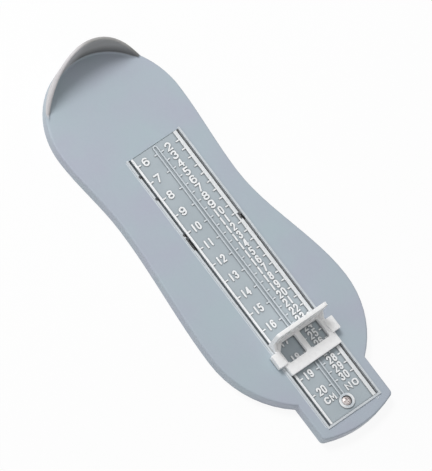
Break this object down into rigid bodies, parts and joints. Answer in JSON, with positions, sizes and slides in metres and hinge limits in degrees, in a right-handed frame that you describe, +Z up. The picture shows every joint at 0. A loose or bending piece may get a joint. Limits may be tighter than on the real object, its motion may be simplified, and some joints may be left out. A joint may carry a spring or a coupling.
{
  "type": "foot measuring device",
  "caption": "Foot-shaped plate with a curved heel wall, a numbered scale and a toe stop that slides in two slots to show the length of a foot.",
  "frame": {"origin": "centre of the underside: the middle of the plate's length and width, on the surface it stands on", "axes": "+X from the heel to the tail along the scale, +Y towards the arch side, +Z up"},
  "size_m": [0.2268, 0.083, 0.0275],
  "materials": {
    "plate_plastic": "satin moulded plastic, pale blue-grey",
    "panel_plastic": "satin moulded plastic, pale blue-grey, raised marks rubbed lighter",
    "screw_metal": "plated steel",
    "slider_plastic": "smooth white moulded plastic"
  },
  "bodies": {
    "plate": {"sole_plate": "plate_plastic", "scale_panel": "panel_plastic", "panel_screw": "screw_metal"},
    "slider": {"toe_slider": "slider_plastic"}
  },
  "joints": [
    {"name": "toe_slide", "type": "slide", "parent": "plate", "child": "slider", "axis": [1, 0, 0], "range_m": [-0.1155, 0.035]}
  ]
}
